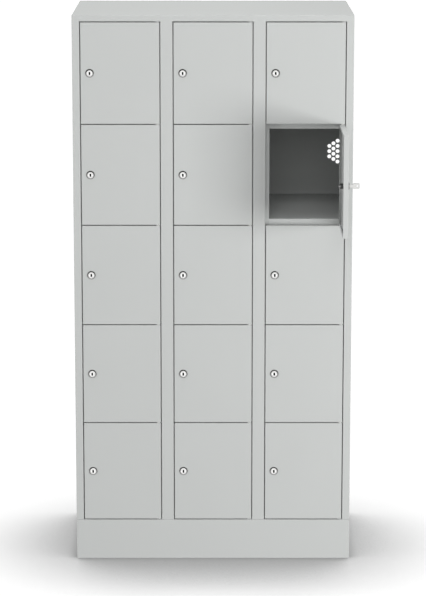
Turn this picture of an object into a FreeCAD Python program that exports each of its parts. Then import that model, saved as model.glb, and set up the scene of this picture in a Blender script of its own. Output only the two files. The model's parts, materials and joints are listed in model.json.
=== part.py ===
import FreeCAD, Part
import math
import os

# Sheet-steel compartment locker: three columns of five doors on a flush plinth, in millimetres.
# X runs to the right, Y to the back and Z up. The origin is on the floor, under the middle of the cabinet.
# Rows are counted from the top and columns from the left.

# Cabinet
WIDTH = 900.0
DEPTH = 500.0
HEIGHT = 1800.0
SHEET = 0.8
COLUMNS = 3
ROWS = 5
GAP = 3.0                 # shadow gap round every door
SIDE_FACE = 24.0          # width of the side panels' front stiles
POST_FACE = 39.0          # width of the middle posts' faces
HEADER = 20.0             # height of the roof's front face
STOP_DEPTH = 24.0         # from the front face to the stops that the doors shut against
STOP_WIDTH = 13.5         # how far a stop reaches into the opening
LIP_REACH = 17.0          # from the middle of a gap to the edge of a shelf's front lip
SHELF_FLANGE = 15.0
REAR_FLANGE = 8.0
BACK_FLANGE = 15.0        # rear flange of a partition, and height of the roof's rear tabs
TAB_CLEARANCE = 16.0      # from a compartment's walls to the rear tabs

# Plinth
PLINTH_HEIGHT = 132.0
PLINTH_SHEET = 1.5
PLINTH_RIM = 26.0         # width of the rim that the cabinet's walls, posts and lips stand on
BRACE_WIDTH = 40.0

# Holes in the back panel
VENT_RADIUS = 6.5
VENT_COUNTS = (3, 4, 5)   # holes in each upright line of a compartment's vent group
VENT_LINE_PITCH = 14.0
VENT_HOLE_PITCH = 18.0
VENT_EDGE = 24.0          # from the last line of holes to the cabinet's outer face, in the right column
ANCHOR_RADIUS = 4.5
ANCHOR_SPACING_X = 700.0
ANCHOR_SPACING_Z = 1450.0
ANCHOR_MIDDLE_Z = 975.0

# Doors
DOOR_SHEET = 1.0
DOOR_DEPTH = 16.0
DOOR_LIP = 10.0
DOOR_EDGE_RADIUS = 1.2
STIFFENER_WIDTH = 50.0
STIFFENER_DEPTH = 12.0
STIFFENER_END = 12.0

# Hinges: a pin in a plate in the gap above and below every door, near its right edge
PIN_INSET = 7.0           # from the door's right edge to the pin's axis
PIN_SETBACK = 7.0         # from the front face to the pin's axis
PIN_RADIUS = 2.5
PIN_REACH = 10.0          # from the middle of the gap to the pin's end
SLEEVE_RADIUS = 3.5
SLEEVE_REACH = 9.0
COLLAR_RADIUS = 5.5
COLLAR_THICKNESS = 0.65
DOOR_HOLE_RADIUS = 3.55
PLATE_THICKNESS = 1.5
PLATE_SPAN = 13.0         # from the door's right edge to the plate's free end
PLATE_SETBACK = 3.0

# Locks
LOCK_INSET = 29.0         # from the door's left edge to the lock's axis
BEZEL_RADIUS = 14.0
BEZEL_FACE_RADIUS = 9.6
BEZEL_RIM = 0.6           # height of the bezel's edge, below its cone
BEZEL_HEIGHT = 3.6
BARREL_RADIUS = 9.0
BARREL_LENGTH = 25.0
CORE_RADIUS = 7.0
CORE_CLEARANCE = 0.05
NUT_FLATS = 24.0
NUT_THICKNESS = 5.0
KEYWAY_WIDTH = 4.4
KEYWAY_HEIGHT = 8.6
KEYWAY_DEPTH = 26.5
CAM_START = 25.6          # behind the front face, so that the cam passes behind the stop
CAM_THICKNESS = 2.0
CAM_WIDTH = 16.0
CAM_REACH = 30.0
CAM_SCREW_RADIUS = 4.5
CAM_SCREW_HEIGHT = 3.4

# Key of the open door
BLADE_THICKNESS = 2.6
BLADE_HEIGHT = 8.0
BLADE_LENGTH = 24.0
SHOULDER_LENGTH = 11.0
SHOULDER_HEIGHT = 10.0
BOW_LENGTH = 21.0
BOW_HEIGHT = 18.0
BOW_THICKNESS = 2.6
BOW_CORNER = 3.5
BOW_HOLE_RADIUS = 3.0
OPEN_DOOR = (1, 2)        # row and column, counted from zero
OPEN_ANGLE = 90.0

# Places worked out from the sizes above
HALF_WIDTH = WIDTH / 2
FRONT = -DEPTH / 2
REAR = DEPTH / 2
STOP_FRONT = FRONT + STOP_DEPTH
STOP_REAR = STOP_FRONT + SHEET
PANEL_FRONT = REAR - SHEET          # inner face of the back panel
WALL_REAR = PANEL_FRONT - SHEET     # where floors and shelves end
ROOF_UNDERSIDE = HEIGHT - SHEET
HEADER_BOTTOM = HEIGHT - HEADER
FRAME_INSIDE = HALF_WIDTH - SIDE_FACE
DOOR_WIDTH = (WIDTH - 2 * SIDE_FACE - (COLUMNS - 1) * POST_FACE - 2 * COLUMNS * GAP) / COLUMNS
DOOR_HEIGHT = (HEADER_BOTTOM - PLINTH_HEIGHT - (ROWS + 1) * GAP) / ROWS
COLUMN_PITCH = DOOR_WIDTH + 2 * GAP + POST_FACE
ROW_PITCH = DOOR_HEIGHT + GAP
FLOOR_TOP = PLINTH_HEIGHT + GAP / 2 + LIP_REACH
PIN_Y = FRONT + PIN_SETBACK


def door_left(column):
    return -FRAME_INSIDE + GAP + column * COLUMN_PITCH


def door_right(column):
    return door_left(column) + DOOR_WIDTH


def door_bottom(row):
    return HEADER_BOTTOM - (row + 1) * ROW_PITCH


def gap_middle(level):
    """Height of the middle of a horizontal gap: level 0 is above the top doors."""
    return HEADER_BOTTOM - GAP / 2 - level * ROW_PITCH


def post_middle(post):
    return door_right(post) + GAP + POST_FACE / 2


def walls(column):
    """Inner faces of the two walls of a column, behind the stops."""
    left = -HALF_WIDTH + SHEET if column == 0 else post_middle(column - 1) + SHEET / 2
    right = HALF_WIDTH - SHEET if column == COLUMNS - 1 else post_middle(column) - SHEET / 2
    return left, right


def stops(column):
    """Edges of the two upright stops of a column."""
    return door_left(column) - GAP + STOP_WIDTH, door_right(column) + GAP - STOP_WIDTH


def block(x, y, z):
    """A box given by its (low, high) spans."""
    corner = FreeCAD.Vector(x[0], y[0], z[0])
    return Part.makeBox(x[1] - x[0], y[1] - y[0], z[1] - z[0], corner)


def joined(shapes):
    return shapes[0].multiFuse(shapes[1:]).removeSplitter()


def upright(points, z):
    """A folded profile given in plan, standing over a span of heights."""
    corners = [FreeCAD.Vector(x, y, z[0]) for x, y in points]
    face = Part.Face(Part.makePolygon(corners + corners[:1]))
    return face.extrude(FreeCAD.Vector(0, 0, z[1] - z[0]))


def rod_along_y(x, z, radius, y):
    return Part.makeCylinder(radius, y[1] - y[0], FreeCAD.Vector(x, y[0], z), FreeCAD.Vector(0, 1, 0))


def rod_along_z(x, y, radius, z):
    return Part.makeCylinder(radius, z[1] - z[0], FreeCAD.Vector(x, y, z[0]))


def save(name, solids):
    shape = solids[0] if len(solids) == 1 else Part.makeCompound(solids)
    shape.exportStep(f"parts/{name}.step")
    print(name, len(shape.Solids), "solids", round(shape.Volume / 1000, 1), "cm3", shape.isValid())


def side_panel(side):
    """Outer wall with its front stile, return, stop and rear flange; side is -1 on the left and 1 on the right."""
    outline = [
        (HALF_WIDTH, FRONT),
        (FRAME_INSIDE, FRONT),
        (FRAME_INSIDE, STOP_FRONT),
        (FRAME_INSIDE - STOP_WIDTH, STOP_FRONT),
        (FRAME_INSIDE - STOP_WIDTH, STOP_REAR),
        (FRAME_INSIDE + SHEET, STOP_REAR),
        (FRAME_INSIDE + SHEET, FRONT + SHEET),
        (HALF_WIDTH - SHEET, FRONT + SHEET),
        (HALF_WIDTH - SHEET, WALL_REAR),
        (HALF_WIDTH - SHEET - REAR_FLANGE, WALL_REAR),
        (HALF_WIDTH - SHEET - REAR_FLANGE, PANEL_FRONT),
        (HALF_WIDTH, PANEL_FRONT),
    ]
    return upright([(side * x, y) for x, y in outline], (PLINTH_HEIGHT, ROOF_UNDERSIDE))


def post(middle):
    """Hat-shaped middle post: a face, two returns and two stops."""
    face = POST_FACE / 2
    half = [
        (face, FRONT),
        (face, STOP_FRONT),
        (face + STOP_WIDTH, STOP_FRONT),
        (face + STOP_WIDTH, STOP_REAR),
        (face - SHEET, STOP_REAR),
        (face - SHEET, FRONT + SHEET),
    ]
    right = [(middle + x, y) for x, y in half]
    left = [(middle - x, y) for x, y in reversed(half)]
    return upright(right + left, (PLINTH_HEIGHT, HEADER_BOTTOM))


def partition(middle):
    """Flat wall behind a post, reaching into it, with a flange against the back panel."""
    faces = (middle - SHEET / 2, middle + SHEET / 2)
    tongue = block(faces, (FRONT + SHEET, STOP_REAR), (PLINTH_HEIGHT, HEADER_BOTTOM))
    wall = block(faces, (STOP_REAR, PANEL_FRONT), (FLOOR_TOP, ROOF_UNDERSIDE))
    flange_top = ROOF_UNDERSIDE - BACK_FLANGE
    flange = block((faces[1], faces[1] + BACK_FLANGE), (WALL_REAR, PANEL_FRONT), (FLOOR_TOP, flange_top))
    return joined([tongue, wall, flange])


def rear_tabs(z):
    """Flanges that a horizontal panel turns against the back panel, one in each column."""
    tabs = []
    for column in range(COLUMNS):
        left, right = walls(column)
        tabs.append(block((left + TAB_CLEARANCE, right - TAB_CLEARANCE), (WALL_REAR, PANEL_FRONT), z))
    return tabs


def front_lips(z):
    """Stops that a horizontal panel turns up or down behind the doors, one in each column."""
    return [block(stops(column), (STOP_FRONT, STOP_REAR), z) for column in range(COLUMNS)]


def roof_panel():
    frame = (-FRAME_INSIDE, FRAME_INSIDE)
    ledge_top = HEADER_BOTTOM + SHEET
    sheet = block((-HALF_WIDTH, HALF_WIDTH), (FRONT, PANEL_FRONT), (ROOF_UNDERSIDE, HEIGHT))
    header = block(frame, (FRONT, FRONT + SHEET), (HEADER_BOTTOM, ROOF_UNDERSIDE))
    ledge = block(frame, (FRONT + SHEET, STOP_FRONT), (HEADER_BOTTOM, ledge_top))
    between_stops = FRAME_INSIDE - STOP_WIDTH
    post_rest = block((-between_stops, between_stops), (STOP_FRONT, STOP_REAR), (HEADER_BOTTOM, ledge_top))
    lips = front_lips((gap_middle(0) - LIP_REACH, ledge_top))
    tabs = rear_tabs((ROOF_UNDERSIDE - BACK_FLANGE, ROOF_UNDERSIDE))
    return joined([sheet, header, ledge, post_rest] + lips + tabs)


def bottom_panel():
    """Floor of the lowest compartments, standing on the plinth by its front lips and rear tabs."""
    inside = HALF_WIDTH - SHEET
    floor = block((-inside, inside), (STOP_REAR, WALL_REAR), (FLOOR_TOP - SHEET, FLOOR_TOP))
    lips = front_lips((PLINTH_HEIGHT, FLOOR_TOP))
    tabs = rear_tabs((PLINTH_HEIGHT, FLOOR_TOP))
    return joined([floor] + lips + tabs)


def shelf(column, level):
    """Shelf between two doors: sheet, front lip behind the gap, side flanges and rear flange."""
    left, right = walls(column)
    middle = gap_middle(level)
    top = middle + LIP_REACH
    flange_z = (top - SHELF_FLANGE, top)
    y = (STOP_REAR, WALL_REAR)
    sheet = block((left, right), y, (top - SHEET, top))
    lip = block(stops(column), (STOP_FRONT, STOP_REAR), (middle - LIP_REACH, top))
    left_flange = block((left, left + SHEET), y, flange_z)
    right_flange = block((right - SHEET, right), y, flange_z)
    rear_flange = block((left, right), (WALL_REAR - SHEET, WALL_REAR), flange_z)
    return joined([sheet, lip, left_flange, right_flange, rear_flange])


def vent_centres(column, row):
    """Staggered upright lines of holes at the right of a compartment, about the middle of its door."""
    last_x = HALF_WIDTH - VENT_EDGE - (COLUMNS - 1 - column) * COLUMN_PITCH
    middle = door_bottom(row) + DOOR_HEIGHT / 2
    centres = []
    for line, count in enumerate(VENT_COUNTS):
        x = last_x - (len(VENT_COUNTS) - 1 - line) * VENT_LINE_PITCH
        for hole in range(count):
            centres.append((x, middle + (hole - (count - 1) / 2) * VENT_HOLE_PITCH))
    return centres


def back_panel():
    sheet = block((-HALF_WIDTH, HALF_WIDTH), (PANEL_FRONT, REAR), (PLINTH_HEIGHT, HEIGHT))
    through = (PANEL_FRONT - SHEET, REAR + SHEET)
    holes = []
    for column in range(COLUMNS):
        for row in range(ROWS):
            for x, z in vent_centres(column, row):
                holes.append(rod_along_y(x, z, VENT_RADIUS, through))
    for x in (-ANCHOR_SPACING_X / 2, ANCHOR_SPACING_X / 2):
        for z in (ANCHOR_MIDDLE_Z - ANCHOR_SPACING_Z / 2, ANCHOR_MIDDLE_Z + ANCHOR_SPACING_Z / 2):
            holes.append(rod_along_y(x, z, ANCHOR_RADIUS, through))
    return sheet.cut(Part.makeCompound(holes))


def plinth():
    """Four boards with an inner rim at the top, and a channel from front to back that stands on the floor."""
    inside = HALF_WIDTH - PLINTH_SHEET
    rim = HALF_WIDTH - PLINTH_RIM
    rim_bottom = PLINTH_HEIGHT - PLINTH_SHEET
    depth = (FRONT + PLINTH_SHEET, REAR - PLINTH_SHEET)
    outer = block((-HALF_WIDTH, HALF_WIDTH), (FRONT, REAR), (0, PLINTH_HEIGHT))
    space = block((-inside, inside), depth, (0, rim_bottom))
    mouth = block((-rim, rim), (FRONT + PLINTH_RIM, REAR - PLINTH_RIM), (rim_bottom, PLINTH_HEIGHT))
    boards = outer.cut([space, mouth])
    channel = block((-BRACE_WIDTH / 2, BRACE_WIDTH / 2), depth, (0, rim_bottom))
    hollow_x = (-BRACE_WIDTH / 2 + PLINTH_SHEET, BRACE_WIDTH / 2 - PLINTH_SHEET)
    hollow = block(hollow_x, depth, (PLINTH_SHEET, rim_bottom))
    return [boards, channel.cut(hollow)]


def hinge_plates():
    plates = []
    for column in range(COLUMNS):
        right = door_right(column)
        for level in range(ROWS + 1):
            middle = gap_middle(level)
            z = (middle - PLATE_THICKNESS / 2, middle + PLATE_THICKNESS / 2)
            plate = block((right - PLATE_SPAN, right + GAP), (FRONT + PLATE_SETBACK, STOP_FRONT), z)
            plates.append(plate.cut(rod_along_z(right - PIN_INSET, PIN_Y, PIN_RADIUS, z)))
    return plates


def hinge_sides(level):
    """Sides of a gap that have a door: 1 is above the gap and -1 below it."""
    return [side for side, doors in ((1, level > 0), (-1, level < ROWS)) if doors]


def hinge_pins():
    pins = []
    for column in range(COLUMNS):
        for level in range(ROWS + 1):
            ends = [side * PIN_REACH for side in hinge_sides(level)]
            ends += [side * PLATE_THICKNESS / 2 for side in (-1, 1)]
            z = (gap_middle(level) + min(ends), gap_middle(level) + max(ends))
            pins.append(rod_along_z(door_right(column) - PIN_INSET, PIN_Y, PIN_RADIUS, z))
    return pins


def hinge_sleeves():
    """Nylon sleeves on the pins, each with a collar that carries the door clear of the plate."""
    sleeves = []
    for column in range(COLUMNS):
        x = door_right(column) - PIN_INSET
        for level in range(ROWS + 1):
            for side in hinge_sides(level):
                start = gap_middle(level) + side * PLATE_THICKNESS / 2
                collar_end = start + side * COLLAR_THICKNESS
                end = gap_middle(level) + side * SLEEVE_REACH
                tube = rod_along_z(x, PIN_Y, SLEEVE_RADIUS, sorted((start, end)))
                collar = rod_along_z(x, PIN_Y, COLLAR_RADIUS, sorted((start, collar_end)))
                bore = rod_along_z(x, PIN_Y, PIN_RADIUS, sorted((start, end)))
                sleeves.append(joined([tube, collar]).cut(bore))
    return sleeves


def opened(solids, column, row):
    """Turns the pieces of the open door about its hinge pin, and leaves the others shut."""
    if (row, column) == OPEN_DOOR:
        pin = FreeCAD.Vector(door_right(column) - PIN_INSET, PIN_Y, 0)
        for solid in solids:
            solid.rotate(pin, FreeCAD.Vector(0, 0, 1), OPEN_ANGLE)
    return solids


def front_edges(box):
    """Edges of a box that lie in the front plane or run back from its corners."""
    return [edge for edge in box.Edges if min(v.Point.y for v in edge.Vertexes) < FRONT + DOOR_SHEET]


def door(column, row):
    """Folded pan with return lips and an upright stiffener behind its skin."""
    left = door_left(column)
    right = door_right(column)
    bottom = door_bottom(row)
    top = bottom + DOOR_HEIGHT
    rear = FRONT + DOOR_DEPTH
    skin_rear = FRONT + DOOR_SHEET
    slab = block((left, right), (FRONT, rear), (bottom, top))
    slab = slab.makeFillet(DOOR_EDGE_RADIUS, front_edges(slab))
    inner_x = (left + DOOR_SHEET, right - DOOR_SHEET)
    inner_z = (bottom + DOOR_SHEET, top - DOOR_SHEET)
    hollow = block(inner_x, (skin_rear, rear - DOOR_SHEET), inner_z)
    mouth_x = (left + DOOR_LIP, right - DOOR_LIP)
    mouth_z = (bottom + DOOR_LIP, top - DOOR_LIP)
    mouth = block(mouth_x, (skin_rear, rear), mouth_z)
    middle = bottom + DOOR_HEIGHT / 2
    lock_hole = rod_along_y(left + LOCK_INSET, middle, BARREL_RADIUS + CORE_CLEARANCE, (FRONT, skin_rear))
    hinge_hole = rod_along_z(right - PIN_INSET, PIN_Y, DOOR_HOLE_RADIUS, (bottom, top))
    pan = slab.cut([hollow, mouth, lock_hole, hinge_hole])
    centre = left + DOOR_WIDTH / 2
    half = STIFFENER_WIDTH / 2
    stiffener_z = (bottom + STIFFENER_END, top - STIFFENER_END)
    channel = block((centre - half, centre + half), (skin_rear, skin_rear + STIFFENER_DEPTH), stiffener_z)
    channel_x = (centre - half + SHEET, centre + half - SHEET)
    channel_space = block(channel_x, (skin_rear, skin_rear + STIFFENER_DEPTH - SHEET), stiffener_z)
    return opened([pan, channel.cut(channel_space)], column, row)


def lock_barrel(column, row):
    """Conical bezel and barrel in one, turned about the lock's axis, and the nut that clamps them to the door."""
    x = door_left(column) + LOCK_INSET
    z = door_bottom(row) + DOOR_HEIGHT / 2
    bore = CORE_RADIUS + CORE_CLEARANCE
    outline = [
        (bore, -BARREL_LENGTH),
        (BARREL_RADIUS, -BARREL_LENGTH),
        (BARREL_RADIUS, 0),
        (BEZEL_RADIUS, 0),
        (BEZEL_RADIUS, BEZEL_RIM),
        (BEZEL_FACE_RADIUS, BEZEL_HEIGHT),
        (bore, BEZEL_HEIGHT),
    ]
    corners = [FreeCAD.Vector(x + radius, FRONT - height, z) for radius, height in outline]
    section = Part.Face(Part.makePolygon(corners + corners[:1]))
    housing = section.revolve(FreeCAD.Vector(x, FRONT, z), FreeCAD.Vector(0, 1, 0), 360)
    nut_front = FRONT + DOOR_SHEET
    corner_radius = NUT_FLATS / math.sqrt(3)
    corners = []
    for side in range(7):
        angle = math.radians(60 * side)
        corner = (x + corner_radius * math.cos(angle), nut_front, z + corner_radius * math.sin(angle))
        corners.append(FreeCAD.Vector(*corner))
    nut = Part.Face(Part.makePolygon(corners)).extrude(FreeCAD.Vector(0, NUT_THICKNESS, 0))
    nut = nut.cut(rod_along_y(x, z, BARREL_RADIUS, (nut_front, nut_front + NUT_THICKNESS)))
    return opened([housing, nut], column, row)


def lock_core(column, row):
    """Turning core with its keyway, the cam hanging down behind it, and the cam's screw."""
    x = door_left(column) + LOCK_INSET
    z = door_bottom(row) + DOOR_HEIGHT / 2
    face = FRONT - BEZEL_HEIGHT
    cam_y = (FRONT + CAM_START, FRONT + CAM_START + CAM_THICKNESS)
    core = rod_along_y(x, z, CORE_RADIUS, (face, cam_y[0]))
    keyway_x = (x - KEYWAY_WIDTH / 2, x + KEYWAY_WIDTH / 2)
    keyway_z = (z - KEYWAY_HEIGHT / 2, z + KEYWAY_HEIGHT / 2)
    core = core.cut(block(keyway_x, (face, face + KEYWAY_DEPTH), keyway_z))
    tip_z = z - CAM_REACH + CAM_WIDTH / 2
    arm = block((x - CAM_WIDTH / 2, x + CAM_WIDTH / 2), cam_y, (tip_z, z))
    ends = [rod_along_y(x, end_z, CAM_WIDTH / 2, cam_y) for end_z in (tip_z, z)]
    cam = joined([arm] + ends)
    screw = rod_along_y(x, z, CAM_SCREW_RADIUS, (cam_y[1], cam_y[1] + CAM_SCREW_HEIGHT))
    screw = screw.makeChamfer(CAM_SCREW_HEIGHT / 5, [screw.Edges[0], screw.Edges[2]])
    return opened([core, cam, screw], column, row)


def key(column, row):
    """Flat key standing in the keyway: blade, shoulder and a bow with a hole for a ring."""
    x = door_left(column) + LOCK_INSET
    z = door_bottom(row) + DOOR_HEIGHT / 2
    face = FRONT - BEZEL_HEIGHT
    shoulder_front = face - SHOULDER_LENGTH
    bow_front = shoulder_front - BOW_LENGTH
    blade_x = (x - BLADE_THICKNESS / 2, x + BLADE_THICKNESS / 2)
    flat_x = (x - BOW_THICKNESS / 2, x + BOW_THICKNESS / 2)
    blade = block(blade_x, (face, face + BLADE_LENGTH), (z - BLADE_HEIGHT / 2, z + BLADE_HEIGHT / 2))
    shoulder_z = (z - SHOULDER_HEIGHT / 2, z + SHOULDER_HEIGHT / 2)
    shoulder = block(flat_x, (shoulder_front, face), shoulder_z)
    bow = block(flat_x, (bow_front, shoulder_front), (z - BOW_HEIGHT / 2, z + BOW_HEIGHT / 2))
    corners = [edge for edge in bow.Edges if abs(edge.Vertexes[0].Point.x - edge.Vertexes[-1].Point.x) > 1]
    bow = bow.makeFillet(BOW_CORNER, corners)
    eye = Part.makeCylinder(
        BOW_HOLE_RADIUS,
        BOW_THICKNESS,
        FreeCAD.Vector(flat_x[0], bow_front + BOW_LENGTH / 3, z),
        FreeCAD.Vector(1, 0, 0),
    )
    return opened([joined([blade, shoulder, bow]).cut(eye)], column, row)


def main():
    os.makedirs("parts", exist_ok=True)
    save("side_panel_left", [side_panel(-1)])
    save("side_panel_right", [side_panel(1)])
    save("roof_panel", [roof_panel()])
    save("bottom_panel", [bottom_panel()])
    save("back_panel", [back_panel()])
    save("partition_left", [partition(post_middle(0))])
    save("partition_right", [partition(post_middle(1))])
    save("post_left", [post(post_middle(0))])
    save("post_right", [post(post_middle(1))])
    save("shelves", [shelf(column, level) for column in range(COLUMNS) for level in range(1, ROWS)])
    save("plinth", plinth())
    save("hinge_plates", hinge_plates())
    save("hinge_pins", hinge_pins())
    save("hinge_sleeves", hinge_sleeves())
    for row in range(ROWS):
        for column in range(COLUMNS):
            place = f"r{row + 1}c{column + 1}"
            save(f"door_{place}", door(column, row))
            save(f"lock_barrel_{place}", lock_barrel(column, row))
            save(f"lock_core_{place}", lock_core(column, row))
            if (row, column) == OPEN_DOOR:
                save(f"key_{place}", key(column, row))


main()
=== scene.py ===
import json
import math

import bmesh
import bpy
import numpy as np
from mathutils import Matrix, Vector
from mathutils.bvhtree import BVHTree
from mathutils.geometry import delaunay_2d_cdt


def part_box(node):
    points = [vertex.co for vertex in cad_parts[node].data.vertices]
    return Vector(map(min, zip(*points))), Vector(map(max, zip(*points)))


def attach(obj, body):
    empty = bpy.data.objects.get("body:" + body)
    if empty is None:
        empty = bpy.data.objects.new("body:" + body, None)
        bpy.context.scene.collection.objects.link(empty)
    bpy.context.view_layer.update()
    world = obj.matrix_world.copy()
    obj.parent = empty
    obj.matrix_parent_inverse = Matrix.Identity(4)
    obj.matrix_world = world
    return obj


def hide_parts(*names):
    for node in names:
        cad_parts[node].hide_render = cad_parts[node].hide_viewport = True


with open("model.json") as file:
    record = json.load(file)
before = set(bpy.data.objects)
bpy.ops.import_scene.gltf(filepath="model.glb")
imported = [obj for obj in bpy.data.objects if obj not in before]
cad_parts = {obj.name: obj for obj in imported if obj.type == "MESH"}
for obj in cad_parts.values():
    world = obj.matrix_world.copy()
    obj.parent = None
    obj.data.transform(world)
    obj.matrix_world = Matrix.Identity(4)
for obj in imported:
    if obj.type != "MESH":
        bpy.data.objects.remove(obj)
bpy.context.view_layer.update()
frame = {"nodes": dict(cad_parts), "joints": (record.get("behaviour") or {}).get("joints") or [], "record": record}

# Sheet-steel compartment locker. Everything is in metres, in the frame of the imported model:
# X to the right, Y to the back, Z up, with the doors facing -Y.
MM = 0.001

# Sheet metal
BEND_RADIUS = 0.7 * MM
PLINTH_BEND_RADIUS = 1.4 * MM
BEND_SEGMENTS = 3
MIN_BEND = 60              # degrees
MIN_FLAT = 5 * MM          # only edges between faces at least this wide are bends
PROBE = 0.2 * MM           # how far from a face its two sides are tested
BASE_SEAM = 0.6 * MM       # open seam between the plinth and what stands on it
FOOT_REACH = 0.1 * MM      # corners this close to the lowest are lifted off the seam
GRID_DECIMALS = 5
DOOR_GAP = 3 * MM
SMOOTH_UNDER = 30          # degrees between faces that are shaded as one round surface

# Vent holes in the back panel
VENT_RADIUS = 6.5 * MM
VENT_COUNTS = (3, 4, 5)
VENT_LINE_PITCH = 14 * MM
VENT_HOLE_PITCH = 18 * MM
VENT_PAST_DOOR = 3 * MM     # from a door's right edge to the last line of holes
PUNCHED_EDGE = 0.12 * MM

# Locks, measured outwards from the door's front face
BEZEL_RADIUS = 14 * MM
BEZEL_FACE_RADIUS = 9.6 * MM
BEZEL_HEIGHT = 3.6 * MM
RIM_HEIGHT = 1.2 * MM
CORE_STEP = 0.25 * MM       # from the bezel's flat face down to its inner edge
CORE_CLEARANCE = 0.06 * MM
BARREL_RADIUS = 9 * MM
BARREL_LENGTH = 25 * MM
THREAD_PITCH = 1 * MM
THREAD_DEPTH = 0.55 * MM
CORE_RADIUS = 7 * MM
CORE_SETBACK = 0.1 * MM
NUT_FLATS = 24 * MM
NUT_THICKNESS = 5 * MM
NUT_FRONT = -1 * MM
KEYWAY_WIDTH = 4.4 * MM
KEYWAY_HEIGHT = 8.6 * MM
KEYWAY_CORNER = 1.2 * MM
KEYWAY_FLARE = 0.8 * MM
CAM_START = 25.6 * MM
CAM_THICKNESS = 2 * MM
CAM_WIDTH = 16 * MM
CAM_REACH = 30 * MM
SCREW_RADIUS = 4.5 * MM
SCREW_HEIGHT = 3.4 * MM
SCREW_RECESS = 2 * MM
CORE_EDGE = 0.25 * MM
NUT_EDGE = 0.3 * MM
SCREW_EDGE = 0.5 * MM

# Key
BLADE_THICKNESS = 2.6 * MM
BLADE_HEIGHT = 8 * MM
BLADE_LENGTH = 24 * MM
CUT_DEPTHS = (2.2 * MM, 1.2 * MM, 2.8 * MM, 1.8 * MM, 1.0 * MM)
FIRST_CUT = 4 * MM          # from the tip
CUT_PITCH = 3.4 * MM
CUT_FLOOR = 0.9 * MM
CUT_RISE = 1.2 * MM
CREST = 0.4 * MM            # how far the crests between the cuts stand inside the blade's edge
SHOULDER_GAP = 0.4 * MM
SHOULDER_LENGTH = 11 * MM
SHOULDER_HEIGHT = 10 * MM
BOW_LENGTH = 21 * MM
BOW_HEIGHT = 18 * MM
BOW_CORNER = 3.5 * MM
BOW_HOLE_RADIUS = 3 * MM
KEY_EDGE = 0.3 * MM

# Hinge pins
HINGE_INSET = 7 * MM        # from a door's right edge to its hinge axis
PIN_RADIUS = 2.5 * MM
PIN_REACH = 10 * MM
PLATE_THICKNESS = 1.5 * MM
SLEEVE_RADIUS = 3.5 * MM
SLEEVE_REACH = 9 * MM
COLLAR_RADIUS = 5.5 * MM
COLLAR_THICKNESS = 0.65 * MM
PIN_CHAMFER = 0.5 * MM
PIN_CORE = 0.02 * MM        # radius of the closed-up middle of a turned pin
PIN_SEGMENTS = 24
SLEEVE_CLEARANCE = 0.02 * MM
SLEEVE_EDGE = 0.15 * MM

# Surface detail, as noise cells per metre and relief
COAT_DRIFT = 5
COAT_SPREAD = 0.015
COAT_GRAIN = 1100
COAT_RELIEF = 0.04 * MM
METAL_DRIFT = 60
NYLON_CLOUD = 300
FLOOR_DRIFT = 0.7

# Studio
DOME_STRENGTH = 0.45
FLOOR_RADIUS = 30
FLOOR_TONES = (0.48, 0.52)
# The floor glows of itself, and its glow is cut down near the object: painted light and painted shadow.
FLOOR_GLOW = 0.84
SHADE_DISTANCE = 0.45       # how far the object's soft shade reaches over the floor
SHADE_POWER = 1.9
SHADE_LEAN = (0.42, 0.91)   # Y and Z of the direction that the shade is felt in
CONTACT_DISTANCE = 0.035    # reach of the darker line where the object meets the floor
MIDDLE = (0, -0.25, 0.9)    # of the cabinet's front
LIGHTS = {                  # place, aim, size and power
    "key_light": ((4.2, -3.1, 0.9), MIDDLE, (1.45, 1.8), 246),
    "fill_light": ((-4.2, -1.9, 0.9), MIDDLE, (1.6, 1.8), 66),
    "upper_light": ((0, -5.2, 5.2), MIDDLE, (3.2, 2.0), 92),
    "front_light": ((0, -5.4, 3.0), MIDDLE, (2.5, 1.5), 23),
    "roof_light": ((0, 0, 4.4), (0, 0, 1.8), (2.0, 1.6), 80),
}

# Camera
CAMERA_DISTANCE = 7.6      # from the cabinet's front
CAMERA_HEIGHT = 2.55
AIM_HEIGHT = 1.156
LENS = 144.7
SHIFT = -0.14

JOINTS = {joint["name"]: joint for joint in frame["joints"]}
PLACES = sorted(name[len("door_"):] for name in frame["nodes"] if name.startswith("door_"))
KEY_NODE = next(name for name in frame["nodes"] if name.startswith("key_"))
CABINET = "cabinet"


def new_object(name, mesh):
    piece = bpy.data.objects.new(name, mesh)
    bpy.context.scene.collection.objects.link(piece)
    return piece


# Materials

def new_material(name):
    material = bpy.data.materials.new(name)
    material.use_nodes = True
    return material, material.node_tree, material.node_tree.nodes["Principled BSDF"]


def object_coordinates(tree):
    return tree.nodes.new("ShaderNodeTexCoord").outputs["Object"]


def noise(tree, place, scale, detail=2):
    node = tree.nodes.new("ShaderNodeTexNoise")
    node.inputs["Scale"].default_value = scale
    node.inputs["Detail"].default_value = detail
    tree.links.new(place, node.inputs["Vector"])
    return node.outputs["Fac"]


def remapped(tree, value, low, high, source=(0.3, 0.7)):
    node = tree.nodes.new("ShaderNodeMapRange")
    node.inputs["From Min"].default_value = source[0]
    node.inputs["From Max"].default_value = source[1]
    node.inputs["To Min"].default_value = low
    node.inputs["To Max"].default_value = high
    tree.links.new(value, node.inputs["Value"])
    return node.outputs["Result"]


def blended(tree, factor, dark, light):
    node = tree.nodes.new("ShaderNodeMix")
    node.data_type = "RGBA"
    tree.links.new(factor, node.inputs["Factor"])
    node.inputs["A"].default_value = (*dark, 1)
    node.inputs["B"].default_value = (*light, 1)
    return node.outputs["Result"]


def bump(tree, height, distance):
    node = tree.nodes.new("ShaderNodeBump")
    node.inputs["Distance"].default_value = distance
    node.inputs["Strength"].default_value = 1
    tree.links.new(height, node.inputs["Height"])
    return node.outputs["Normal"]


def calculated(tree, operation, first, second):
    """Result of a Math node, from a socket and a socket or number."""
    node = tree.nodes.new("ShaderNodeMath")
    node.operation = operation
    tree.links.new(first, node.inputs[0])
    if isinstance(second, bpy.types.NodeSocket):
        tree.links.new(second, node.inputs[1])
    else:
        node.inputs[1].default_value = second
    return node.outputs[0]


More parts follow.
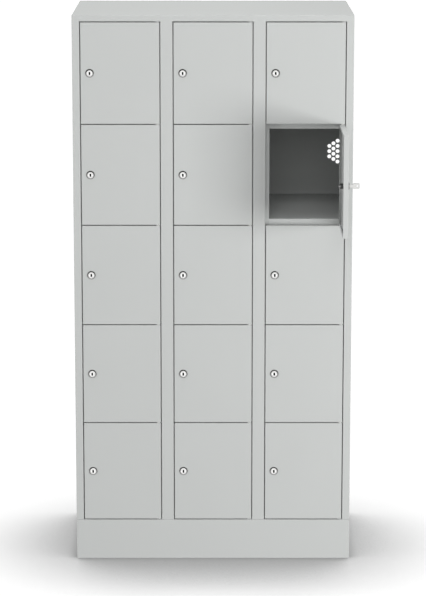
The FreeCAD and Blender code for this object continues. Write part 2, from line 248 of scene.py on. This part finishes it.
def openness(tree, distance):
    """Node that is 1 in the open and falls towards 0 where something is near."""
    node = tree.nodes.new("ShaderNodeAmbientOcclusion")
    node.inputs["Distance"].default_value = distance
    node.samples = 8
    return node


def powder_coat(name, color):
    """Fine-textured coat: a faint drift of tone, and a grain that shows in gloss and relief."""
    material, tree, shader = new_material(name)
    place = object_coordinates(tree)
    drift = noise(tree, place, COAT_DRIFT, 3)
    grain = noise(tree, place, COAT_GRAIN)
    dark = [channel * (1 - COAT_SPREAD) for channel in color]
    light = [channel * (1 + COAT_SPREAD) for channel in color]
    tree.links.new(blended(tree, drift, dark, light), shader.inputs["Base Color"])
    tree.links.new(remapped(tree, grain, 0.46, 0.6), shader.inputs["Roughness"])
    tree.links.new(bump(tree, grain, COAT_RELIEF), shader.inputs["Normal"])
    shader.inputs["Specular IOR Level"].default_value = 0.4
    return material


def plated(name, color, roughness, scratch_scale=(900, 900, 900), relief=0.006 * MM):
    """Plated metal with fine machining marks."""
    material, tree, shader = new_material(name)
    place = object_coordinates(tree)
    stretched = tree.nodes.new("ShaderNodeMapping")
    stretched.inputs["Scale"].default_value = scratch_scale
    tree.links.new(place, stretched.inputs["Vector"])
    marks = noise(tree, stretched.outputs["Vector"], 1, 3)
    drift = noise(tree, place, METAL_DRIFT)
    dark = [channel * 0.93 for channel in color]
    tree.links.new(blended(tree, drift, dark, color), shader.inputs["Base Color"])
    tree.links.new(remapped(tree, marks, roughness * 0.8, roughness * 1.3), shader.inputs["Roughness"])
    tree.links.new(bump(tree, marks, relief), shader.inputs["Normal"])
    shader.inputs["Metallic"].default_value = 1
    return material


def nylon(name, color):
    material, tree, shader = new_material(name)
    place = object_coordinates(tree)
    cloud = noise(tree, place, NYLON_CLOUD)
    dark = [channel * 0.95 for channel in color]
    tree.links.new(blended(tree, cloud, dark, color), shader.inputs["Base Color"])
    tree.links.new(remapped(tree, cloud, 0.4, 0.55), shader.inputs["Roughness"])
    shader.inputs["Subsurface Weight"].default_value = 0.1
    shader.inputs["Subsurface Radius"].default_value = (MM, MM, MM)
    return material


def glowing_floor_painted_shadow(name):
    """White studio floor with a faint glow of its own, which dies away where something stands close to it: a
    painted glow with a painted shadow.
    """
    material, tree, shader = new_material(name)
    drift = noise(tree, object_coordinates(tree), FLOOR_DRIFT)
    leaning = tree.nodes.new("ShaderNodeCombineXYZ")
    leaning.inputs["Y"].default_value, leaning.inputs["Z"].default_value = SHADE_LEAN
    wide = openness(tree, SHADE_DISTANCE)
    tree.links.new(leaning.outputs[0], wide.inputs["Normal"])
    near = openness(tree, CONTACT_DISTANCE)
    # The glow is cut down near things: painted soft shadow and painted contact shadow.
    shade = calculated(tree, "POWER", wide.outputs["AO"], SHADE_POWER)
    shade = calculated(tree, "MULTIPLY", shade, near.outputs["AO"])
    glow = calculated(tree, "MULTIPLY", shade, FLOOR_GLOW)
    dark, light = [(tone, tone, tone) for tone in FLOOR_TONES]
    tree.links.new(blended(tree, drift, dark, light), shader.inputs["Base Color"])
    shader.inputs["Emission Color"].default_value = (1, 1, 1, 1)
    tree.links.new(glow, shader.inputs["Emission Strength"])
    shader.inputs["Roughness"].default_value = 0.8
    shader.inputs["Specular IOR Level"].default_value = 0.1
    return material


PAINT = (0.430, 0.441, 0.434)
# The inside sheets and the back panel get the same paint made 14 % lighter: painted light that brightens the
# shaded interior.
INNER_LIT_PAINT = (0.490, 0.503, 0.495)
CABINET_COAT = powder_coat("cabinet_powder_coat", PAINT)
DOOR_COAT = powder_coat("door_powder_coat", PAINT)
INNER_LIT_COAT = powder_coat("inner_coat_painted_light", INNER_LIT_PAINT)
NICKEL = plated("satin_nickel", (0.76, 0.76, 0.75), 0.16)
CORE_METAL = plated("turned_core", (0.88, 0.88, 0.87), 0.25)
# Near black for the keyway and its flared mouth: painted shade standing in for the dark hole.
KEYWAY_PAINTED_SHADE = plated("keyway_painted_shade", (0.012, 0.012, 0.012), 0.6)
# Darker metal for the lock's parts behind the door: painted shade on plated metal.
REAR_METAL_PAINTED_SHADE = plated("lock_rear_painted_shade", (0.32, 0.32, 0.32), 0.4)
KEY_METAL = plated("key_nickel", (0.60, 0.60, 0.59), 0.3, (200, 200, 2500), 0.01 * MM)
ZINC = plated("zinc_plate", (0.62, 0.63, 0.64), 0.38)
NYLON = nylon("natural_nylon", (0.72, 0.71, 0.67))


def finished(piece, materials, body, slot, *nodes):
    """Gives a piece its materials and its body, and hides the CAD nodes it replaces. The slot is not used.

    The locks share their meshes, so a mesh that has its materials already keeps them.
    """
    if not piece.data.materials:
        for material in materials:
            piece.data.materials.append(material)
    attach(piece, body)
    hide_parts(*nodes)


def coat_node(name, material):
    """Gives a CAD node its material, with crisp folds and smooth round edges."""
    mesh = frame["nodes"][name].data
    mesh.materials.clear()
    mesh.materials.append(material)
    if "custom_normal" in mesh.attributes:
        mesh.attributes.remove(mesh.attributes["custom_normal"])
    mesh.polygons.foreach_set("use_smooth", [True] * len(mesh.polygons))
    mesh.set_sharp_from_angle(angle=math.radians(SMOOTH_UNDER))


# Meshes

def ring(radius, count, centre=(0, 0)):
    angles = [2 * math.pi * step / count for step in range(count)]
    return [(centre[0] + radius * math.cos(a), centre[1] + radius * math.sin(a)) for a in angles]


def corner_arc(x, y, radius, quarter, steps):
    """Quarter circle about a point, anticlockwise from the given quarter turn."""
    points = []
    for step in range(steps + 1):
        angle = (quarter + step / steps) * math.pi / 2
        points.append((x + radius * math.cos(angle), y + radius * math.sin(angle)))
    return points


def rounded_box(low, high, radius, steps=6):
    """Outline of an upright rectangle with round corners."""
    left, right = low[0] + radius, high[0] - radius
    bottom, top = low[1] + radius, high[1] - radius
    points = []
    for quarter, (x, y) in enumerate([(right, top), (left, top), (left, bottom), (right, bottom)]):
        points += corner_arc(x, y, radius, quarter, steps)
    return points


def inset(outline, distance):
    """Anticlockwise outline with every side moved inwards."""
    points = []
    for before, here, after in zip(outline[-1:] + outline[:-1], outline, outline[1:] + outline[:1]):
        here = Vector(here)
        ways = [(here - Vector(before)).normalized(), (Vector(after) - here).normalized()]
        normals = [Vector((-way.y, way.x)) for way in ways]
        points.append(here + (normals[0] + normals[1]) * distance / (1 + normals[0].dot(normals[1])))
    return points


def triangles_between(outlines):
    """Triangles between a rim and the convex holes in it, as places in the joined list of points."""
    points = []
    edges = []
    owners = []
    for number, outline in enumerate(outlines):
        first = len(points)
        count = len(outline)
        points += [Vector(point) for point in outline]
        edges += [(first + step, first + (step + 1) % count) for step in range(count)]
        owners += [number] * count
    inside_rim = 1
    _, _, triangles, sources, _, _ = delaunay_2d_cdt(points, edges, [], inside_rim, 0.0001 * MM)
    kept = []
    for triangle in triangles:
        corners = [sources[corner][0] for corner in triangle]
        around = {owners[corner] for corner in corners}
        if len(around) > 1 or around == {0}:
            kept.append(corners)
    return kept


def plate(outlines, bottom, top, edge, flare=0.0):
    """Flat plate in the XY plane with chamfered edges.

    The first outline is its rim and the others are holes, which may flare at the top.
    """
    full = [[Vector(point) for point in outline] for outline in outlines]
    cut = [inset(outlines[0], edge)] + [inset(hole, -edge) for hole in outlines[1:]]
    levels = [(bottom, cut), (bottom + edge, full), (top - edge, full), (top, cut)]
    if flare:
        opened = cut[:1] + [inset(hole, -flare) for hole in outlines[1:]]
        levels[2:] = [(top - flare, full), (top, opened)]
    shape = bmesh.new()
    rows = [
        [[shape.verts.new((point.x, point.y, height)) for point in outline] for outline in level]
        for height, level in levels
    ]
    for lower, upper in zip(rows, rows[1:]):
        for near, far in zip(lower, upper):
            for step in range(len(near)):
                last = step - 1
                shape.faces.new((near[last], near[step], far[step], far[last]))
    for row, (_, level) in ((rows[0], levels[0]), (rows[-1], levels[-1])):
        corners = [vertex for outline in row for vertex in outline]
        for triangle in triangles_between(level):
            shape.faces.new([corners[corner] for corner in triangle])
    bmesh.ops.recalc_face_normals(shape, faces=shape.faces)
    mesh = bpy.data.meshes.new("plate")
    shape.to_mesh(mesh)
    shape.free()
    return mesh


def turned(profile, segments):
    """Closed solid of revolution about Z, from a ring-shaped profile of (radius, height) points."""
    shape = bmesh.new()
    rings = []
    for radius, height in profile:
        rings.append([shape.verts.new((x, y, height)) for x, y in ring(radius, segments)])
    for near, far in zip(rings, rings[1:] + rings[:1]):
        for step in range(segments):
            following = (step + 1) % segments
            shape.faces.new((near[step], near[following], far[following], far[step]))
    bmesh.ops.recalc_face_normals(shape, faces=shape.faces)
    mesh = bpy.data.meshes.new("turned")
    shape.to_mesh(mesh)
    shape.free()
    return mesh


def softened(profile, radius, steps):
    """Rounds the corners of a closed profile."""
    points = []
    for before, here, after in zip(profile[-1:] + profile[:-1], profile, profile[1:] + profile[:1]):
        here = Vector(here)
        ways = [Vector(before) - here, Vector(after) - here]
        cut = min(radius, ways[0].length / 3, ways[1].length / 3)
        start = here + ways[0].normalized() * cut
        end = here + ways[1].normalized() * cut
        for step in range(steps + 1):
            t = step / steps
            points.append(tuple(start * (1 - t) ** 2 + here * 2 * t * (1 - t) + end * t ** 2))
    return points


def gathered(meshes, places=(Matrix.Identity(4),)):
    """One mesh from several, repeated at each of the places."""
    shape = bmesh.new()
    for place in places:
        for mesh in meshes:
            first = len(shape.verts)
            shape.from_mesh(mesh)
            shape.verts.ensure_lookup_table()
            bmesh.ops.transform(shape, matrix=place, verts=shape.verts[first:])
    result = bpy.data.meshes.new("gathered")
    shape.to_mesh(result)
    shape.free()
    result.polygons.foreach_set("use_smooth", [True] * len(result.polygons))
    result.set_sharp_from_angle(angle=math.radians(SMOOTH_UNDER))
    return result


# Welded sheet metal: the nodes are made of boxes, so their union is taken on the grid of their corners.

def grid_lines(meshes):
    corners = np.array([vertex.co for mesh in meshes for vertex in mesh.vertices])
    return [np.unique(np.round(corners[:, axis], GRID_DECIMALS)) for axis in range(3)]


def filled_cells(mesh, lines):
    """Cells of the grid that lie inside a mesh, found along lines parallel to X."""
    tree = BVHTree.FromPolygons([v.co for v in mesh.vertices], [p.vertices for p in mesh.polygons])
    xs, ys, zs = [(line[1:] + line[:-1]) / 2 for line in lines]
    filled = np.zeros((len(xs), len(ys), len(zs)), bool)
    step = 0.01 * MM
    for j, y in enumerate(ys):
        for k, z in enumerate(zs):
            crossings = []
            x = lines[0][0] - 1
            while True:
                hit = tree.ray_cast((x, y, z), (1, 0, 0))[0]
                if hit is None:
                    break
                crossings.append(hit.x)
                x = hit.x + step
            for enter, leave in zip(crossings[::2], crossings[1::2]):
                filled[(xs > enter) & (xs < leave), j, k] = True
    return filled


def skin(lines, filled):
    """Closed surface round the filled cells of a grid."""
    shape = bmesh.new()
    corners = {}

    def corner(index):
        if index not in corners:
            corners[index] = shape.verts.new([lines[axis][index[axis]] for axis in range(3)])
        return corners[index]

    steps = np.pad(filled, 1).astype(int)
    for axis in range(3):
        u, v = [other for other in range(3) if other != axis]
        for cell in np.argwhere(np.diff(steps, axis=axis)):
            face = []
            for du, dv in ((-1, -1), (0, -1), (0, 0), (-1, 0)):
                index = [int(i) for i in cell]
                index[u] += du
                index[v] += dv
                face.append(corner(tuple(index)))
            shape.faces.new(face)
    bmesh.ops.recalc_face_normals(shape, faces=shape.faces)
    bmesh.ops.dissolve_limit(shape, angle_limit=math.radians(1), verts=shape.verts, edges=shape.edges)
    return shape


def in_cells(point, lines, filled):
    index = [int(np.searchsorted(line, value)) - 1 for line, value in zip(lines, point)]
    if any(i < 0 or i >= size for i, size in zip(index, filled.shape)):
        return False
    return bool(filled[tuple(index)])


def is_bend(edge, lines, filled):
    """True for an outer corner between two faces that are both wide enough to be flats."""
    if len(edge.link_faces) != 2 or edge.calc_face_angle_signed(0) < math.radians(MIN_BEND):
        return False
    middle = (edge.verts[0].co + edge.verts[1].co) / 2
    for face, other in (edge.link_faces, reversed(edge.link_faces)):
        point = middle - other.normal * MIN_FLAT
        inside = point - face.normal * PROBE
        outside = point + face.normal * PROBE
        if not in_cells(inside, lines, filled) or in_cells(outside, lines, filled):
            return False
    return True


def welded(name, nodes, bend_radius, lift=0.0):
    """One folded and welded piece made of box-shaped nodes, with rounded bends and a raised foot."""
    meshes = [frame["nodes"][node].data for node in nodes]
    lines = grid_lines(meshes)
    filled = np.any([filled_cells(mesh, lines) for mesh in meshes], axis=0)
    shape = skin(lines, filled)
    bends = [edge for edge in shape.edges if is_bend(edge, lines, filled)]
    bmesh.ops.bevel(
        shape,
        geom=bends,
        offset=bend_radius,
        segments=BEND_SEGMENTS,
        profile=0.5,
        affect="EDGES",
        clamp_overlap=False,
    )
    lowest = lines[2][0]
    for vertex in shape.verts:
        if vertex.co.z < lowest + FOOT_REACH:
            vertex.co.z += lift
    mesh = bpy.data.meshes.new(name)
    shape.to_mesh(mesh)
    shape.free()
    return new_object(name, mesh)


def cabinet_shell():
    nodes = ["side_panel_left", "side_panel_right", "roof_panel", "post_left", "post_right"]
    shell = welded("cabinet_shell", nodes, BEND_RADIUS, BASE_SEAM)
    finished(shell, [CABINET_COAT], CABINET, "cabinet_paint", *nodes)


def base_plinth():
    base = welded("base_plinth", ["plinth"], PLINTH_BEND_RADIUS)
    finished(base, [CABINET_COAT], CABINET, "cabinet_paint", "plinth")


def vent_centres():
    centres = []
    for place in PLACES:
        low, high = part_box("door_" + place)
        turned_by = rest_angle(place)
        right = hinge_axis(place).x + HINGE_INSET if turned_by else high.x
        for line, count in enumerate(VENT_COUNTS):
            x = right + VENT_PAST_DOOR - (len(VENT_COUNTS) - 1 - line) * VENT_LINE_PITCH
            for hole in range(count):
                centres.append((x, (low.z + high.z) / 2 + (hole - (count - 1) / 2) * VENT_HOLE_PITCH))
    return centres


def back_sheet():
    """Back panel with round punched holes. It is drawn face down and then stood up."""
    low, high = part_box("back_panel")
    anchors = next(m for m in frame["record"]["mounts"] if m["name"] == "wall_anchors")
    size = anchors["dims"]
    outlines = [[(low.x, low.z), (high.x, low.z), (high.x, high.z), (low.x, high.z)]]
    outlines += [ring(VENT_RADIUS, 32, centre) for centre in vent_centres()]
    for side in (-1, 1):
        for end in (-1, 1):
            x = anchors["pos_m"][0] + side * size["spacing_x_mm"] * MM / 2
            z = anchors["pos_m"][2] + end * size["spacing_y_mm"] * MM / 2
            outlines.append(ring(size["hole_r_mm"] * MM, 32, (x, z)))
    mesh = plate(outlines, 0, high.y - low.y, PUNCHED_EDGE)
    mesh.transform(Matrix.Translation((0, high.y, 0)) @ Matrix.Rotation(math.radians(90), 4, "X"))
    # The back panel takes the lighter inner coat: painted light.
    finished(new_object("back_sheet", mesh), [INNER_LIT_COAT], CABINET, "cabinet_paint", "back_panel")


# Hinges

def rest_angle(place):
    """How far a door stands open at rest."""
    return -math.radians(JOINTS[f"door_{place}_hinge"]["range_deg"][0])


def hinge_axis(place):
    return Vector(JOINTS[f"door_{place}_hinge"]["pos_m"])


def hinge_ends():
    """Axis point, gap height and the sides of each gap that have a door."""
    gaps = {}
    for place in PLACES:
        axis = hinge_axis(place)
        low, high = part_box("door_" + place)
        for height, side in ((high.z + DOOR_GAP / 2, -1), (low.z - DOOR_GAP / 2, 1)):
            gaps.setdefault((round(axis.x, 4), round(axis.y, 4), round(height, 4)), []).append(side)
    return gaps


def pin_mesh(sides):
    """Pin through a hinge plate, reaching towards the doors on the given sides."""
    ends = [side * PIN_REACH for side in sides] + [side * PLATE_THICKNESS / 2 for side in (-1, 1)]
    low, high = min(ends), max(ends)
    outline = [
        (PIN_RADIUS - PIN_CHAMFER, low),
        (PIN_RADIUS, low + PIN_CHAMFER),
        (PIN_RADIUS, high - PIN_CHAMFER),
        (PIN_RADIUS - PIN_CHAMFER, high),
        (PIN_CORE, high),
        (PIN_CORE, low),
    ]
    return turned(outline, PIN_SEGMENTS)


def sleeve_mesh():
    """Collared sleeve round a pin, standing on the plate."""
    bore = PIN_RADIUS + SLEEVE_CLEARANCE
    start = PLATE_THICKNESS / 2
    outline = [
        (bore, start),
        (COLLAR_RADIUS, start),
        (COLLAR_RADIUS, start + COLLAR_THICKNESS),
        (SLEEVE_RADIUS, start + COLLAR_THICKNESS),
        (SLEEVE_RADIUS, SLEEVE_REACH),
        (bore, SLEEVE_REACH),
    ]
    return turned(softened(outline, SLEEVE_EDGE, 2), PIN_SEGMENTS)


def hinge_pins_and_sleeves():
    pins = []
    sleeves = []
    sleeve = sleeve_mesh()
    upside_down = Matrix.Rotation(math.pi, 4, "X")
    for centre, sides in hinge_ends().items():
        there = Matrix.Translation(centre)
        pins.append(gathered([pin_mesh(sides)], [there]))
        ways = [there if side > 0 else there @ upside_down for side in sides]
        sleeves.append(gathered([sleeve], ways))
    pin_set = new_object("hinge_pin_set", gathered(pins))
    sleeve_set = new_object("hinge_sleeve_set", gathered(sleeves))
    finished(pin_set, [ZINC], CABINET, "hinge_steel", "hinge_pins")
    finished(sleeve_set, [NYLON], CABINET, "hinge_nylon", "hinge_sleeves")


# Locks are drawn about their axis: Z points out of the door, Y up, and the door's face is at height 0.

def lock_place(place):
    low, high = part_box("lock_barrel_" + place)
    centre = (low + high) / 2
    angle = rest_angle(place)
    turn = Matrix.Rotation(angle, 4, "Z")
    face_low, face_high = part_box("door_" + place)
    if angle:
        centre.x = face_high.x
    else:
        centre.y = face_low.y
    stand = Matrix.Rotation(math.radians(90), 4, "X")
    return Matrix.Translation(centre) @ turn @ stand


def housing_mesh():
    """Conical bezel, threaded barrel and its nut, with the metal behind the door's face painted darker as shade.
    """
    bore = CORE_RADIUS + CORE_CLEARANCE
    root = BARREL_RADIUS - THREAD_DEPTH
    shank = [(bore, -BARREL_LENGTH), (root, -BARREL_LENGTH)]
    turns = int((BARREL_LENGTH - 2 * THREAD_PITCH) / THREAD_PITCH)
    for turn in range(turns):
        start = -BARREL_LENGTH + (turn + 0.5) * THREAD_PITCH
        shank.append((root, start))
        shank.append((BARREL_RADIUS, start + THREAD_PITCH / 2))
    shank.append((root, -THREAD_PITCH))
    shank.append((root, 0))
    head = [
        (BEZEL_RADIUS - 0.1 * MM, 0),
        (BEZEL_RADIUS, RIM_HEIGHT / 2),
        (BEZEL_RADIUS - 0.5 * MM, RIM_HEIGHT),
        (BEZEL_FACE_RADIUS + 0.5 * MM, BEZEL_HEIGHT - 0.3 * MM),
        (BEZEL_FACE_RADIUS - 0.2 * MM, BEZEL_HEIGHT),
        (bore + 0.9 * MM, BEZEL_HEIGHT),
        (bore + 0.5 * MM, BEZEL_HEIGHT - CORE_STEP),
        (bore, BEZEL_HEIGHT - CORE_STEP),
    ]
    body = turned(shank + head, 64)
    nut_outline = ring(NUT_FLATS / math.sqrt(3), 6)
    nut_bore = ring(BARREL_RADIUS - 0.3 * MM, 48)
    nut = plate([nut_outline, nut_bore], NUT_FRONT - NUT_THICKNESS, NUT_FRONT, NUT_EDGE)
    mesh = gathered([body, nut])
    # Faces behind the door's face get the darker metal: painted shade.
    for face in mesh.polygons:
        if face.center.z < -0.1 * MM:
            face.material_index = 1
    return mesh


def core_mesh():
    """Core with its keyway, and the cam and its screw. Cam and screw are painted darker as shade, and the keyway's
    walls, its flared mouth and the core's back face are painted near black as shade.
    """
    size = Vector((KEYWAY_WIDTH, KEYWAY_HEIGHT)) / 2
    keyway = rounded_box(-size, size, KEYWAY_CORNER)
    front = BEZEL_HEIGHT - CORE_SETBACK
    core = plate([ring(CORE_RADIUS, 48), keyway], -CAM_START, front, CORE_EDGE, KEYWAY_FLARE)
    half = CAM_WIDTH / 2
    cam_outline = rounded_box((-half, -CAM_REACH), (half, half), half - 0.05 * MM, 10)
    cam = plate([cam_outline], -CAM_START - CAM_THICKNESS, -CAM_START, CORE_EDGE)
    head_front = -CAM_START - CAM_THICKNESS
    head_outlines = [ring(SCREW_RADIUS, 36), ring(SCREW_RECESS, 6)]
    screw = plate(head_outlines, head_front - SCREW_HEIGHT, head_front, SCREW_EDGE)
    mesh = gathered([core, cam, screw])
    reach = KEYWAY_FLARE * 0.6
    # Keyway walls, flared mouth and the core's back face get the near-black metal, and the cam and screw get the
    # darker metal: painted shade.
    for face in mesh.polygons:
        x, y, z = face.center
        in_keyway = abs(x) < size.x + reach and abs(y) < size.y + reach and abs(face.normal.z) < 0.9
        if abs(z + CAM_START) < 0.1 * MM or z > -CAM_START and in_keyway:
            face.material_index = 1
        elif z < -CAM_START:
            face.material_index = 2
    return mesh


def locks():
    housing = housing_mesh()
    core = core_mesh()
    for place in PLACES:
        at = lock_place(place)
        barrel = new_object("lock_housing_" + place, housing)
        barrel.matrix_world = at
        finished(barrel, [NICKEL, REAR_METAL_PAINTED_SHADE], "door_" + place, "lock_housing", "lock_barrel_" + place)
        plug = new_object("lock_plug_" + place, core)
        plug.matrix_world = at
        metals = [CORE_METAL, KEYWAY_PAINTED_SHADE, REAR_METAL_PAINTED_SHADE]
        finished(plug, metals, "lock_" + place, "lock_core", "lock_core_" + place)


def key_outline():
    """Outline of the key in the XY plane, with X pointing out of the lock and the cuts underneath."""
    bow_start = BEZEL_HEIGHT + SHOULDER_LENGTH
    bow_end = bow_start + BOW_LENGTH
    left, right = bow_start + BOW_CORNER, bow_end - BOW_CORNER
    side = BOW_HEIGHT / 2 - BOW_CORNER
    seat = BEZEL_HEIGHT + SHOULDER_GAP
    tip = BEZEL_HEIGHT - BLADE_LENGTH
    low, high = -BLADE_HEIGHT / 2, BLADE_HEIGHT / 2
    outline = corner_arc(right, side, BOW_CORNER, 0, 8)
    outline += corner_arc(left, side, BOW_CORNER, 1, 8)
    outline += [(bow_start, SHOULDER_HEIGHT / 2), (seat, SHOULDER_HEIGHT / 2), (seat, high)]
    outline += [(tip + 2 * MM, high), (tip, 0.6 * MM), (tip + 1.6 * MM, low + 1.5 * MM)]
    for cut, depth in enumerate(CUT_DEPTHS):
        x = tip + FIRST_CUT + cut * CUT_PITCH
        outline.append((x, low + depth))
        outline.append((x + CUT_FLOOR, low + depth))
        outline.append((x + CUT_FLOOR + CUT_RISE, low + CREST))
    outline += [(seat, low), (seat, -SHOULDER_HEIGHT / 2), (bow_start, -SHOULDER_HEIGHT / 2)]
    outline += corner_arc(left, -side, BOW_CORNER, 2, 8)
    outline += corner_arc(right, -side, BOW_CORNER, 3, 8)
    return outline


def key():
    """Key in the lock of the open door."""
    eye_x = BEZEL_HEIGHT + SHOULDER_LENGTH + BOW_LENGTH * 2 / 3
    outlines = [key_outline(), ring(BOW_HOLE_RADIUS, 32, (eye_x, 0))]
    blank = plate(outlines, -BLADE_THICKNESS / 2, BLADE_THICKNESS / 2, KEY_EDGE)
    upright = Matrix.Rotation(math.radians(-90), 4, "Y")
    piece = new_object("key_blank", gathered([blank], [upright]))
    piece.matrix_world = lock_place(KEY_NODE[len("key_"):])
    finished(piece, [KEY_METAL], KEY_NODE, "key_steel", KEY_NODE)


def kept_nodes():
    """CAD nodes whose shape is right already."""
    # The inside sheets take the lighter inner coat: painted light.
    for name in ("bottom_panel", "partition_left", "partition_right", "shelves", "hinge_plates"):
        coat_node(name, INNER_LIT_COAT)
    for place in PLACES:
        coat_node("door_" + place, DOOR_COAT)


# Studio

def studio_floor():
    shape = bmesh.new()
    bmesh.ops.create_circle(shape, cap_ends=True, segments=64, radius=FLOOR_RADIUS)
    mesh = bpy.data.meshes.new("floor")
    shape.to_mesh(mesh)
    shape.free()
    floor = new_object("floor", mesh)
    floor.data.materials.append(glowing_floor_painted_shadow("floor_glow_painted_shadow"))
    floor.visible_glossy = False
    floor.visible_diffuse = False
    return floor


def studio_world():
    """White backdrop and even light. Metal mirrors a bright front, grey walls and a dark ceiling."""
    world = bpy.data.worlds.new("studio")
    world.use_nodes = True
    tree = world.node_tree
    direction = tree.nodes.new("ShaderNodeTexCoord").outputs["Generated"]
    split = tree.nodes.new("ShaderNodeSeparateXYZ")
    tree.links.new(direction, split.inputs[0])
    walls = remapped(tree, split.outputs["Z"], 0.42, 0.03, (-0.9, 0.7))
    front = remapped(tree, split.outputs["Y"], 1.4, 0.0, (-0.9, -0.6))
    mirrored = calculated(tree, "MAXIMUM", walls, front)
    path = tree.nodes.new("ShaderNodeLightPath")
    brightness = tree.nodes.new("ShaderNodeMix")
    brightness.data_type = "FLOAT"
    tree.links.new(path.outputs["Is Glossy Ray"], brightness.inputs["Factor"])
    brightness.inputs["A"].default_value = DOME_STRENGTH
    tree.links.new(mirrored, brightness.inputs["B"])
    backdrop = calculated(tree, "MAXIMUM", brightness.outputs["Result"], path.outputs["Is Camera Ray"])
    background = tree.nodes["Background"]
    tree.links.new(backdrop, background.inputs["Strength"])
    background.inputs["Color"].default_value = (1, 1, 1, 1)
    bpy.context.scene.world = world
    bpy.context.scene.view_settings.view_transform = "Standard"


def soft_light(name, place, aim, size, power, floor):
    """Area light that leaves the floor as it is, and that neither metal nor the camera sees."""
    data = bpy.data.lights.new(name, "AREA")
    data.shape = "RECTANGLE"
    data.size, data.size_y = size
    data.energy = power
    light = bpy.data.objects.new(name, data)
    bpy.context.scene.collection.objects.link(light)
    light.location = place
    light.rotation_euler = (Vector(aim) - Vector(place)).to_track_quat("-Z", "Y").to_euler()
    light.visible_glossy = False
    light.visible_camera = False
    unlit = bpy.data.collections.new(name + "_unlit")
    unlit.objects.link(floor)
    unlit.collection_objects[0].light_linking.link_state = "EXCLUDE"
    light.light_linking.receiver_collection = unlit


def studio_camera():
    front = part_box("plinth")[0].y
    data = bpy.data.cameras.new("camera")
    data.sensor_width = 36
    data.lens = LENS
    data.shift_y = SHIFT
    eye = Vector((0, front - CAMERA_DISTANCE, CAMERA_HEIGHT))
    aim = Vector((0, front, AIM_HEIGHT))
    camera = bpy.data.objects.new("camera", data)
    bpy.context.scene.collection.objects.link(camera)
    camera.location = eye
    camera.rotation_euler = (aim - eye).to_track_quat("-Z", "Y").to_euler()
    bpy.context.scene.camera = camera


studio_world()
floor = studio_floor()
for light_name, settings in LIGHTS.items():
    soft_light(light_name, *settings, floor)
studio_camera()
kept_nodes()
cabinet_shell()
base_plinth()
back_sheet()
hinge_pins_and_sleeves()
locks()
key()
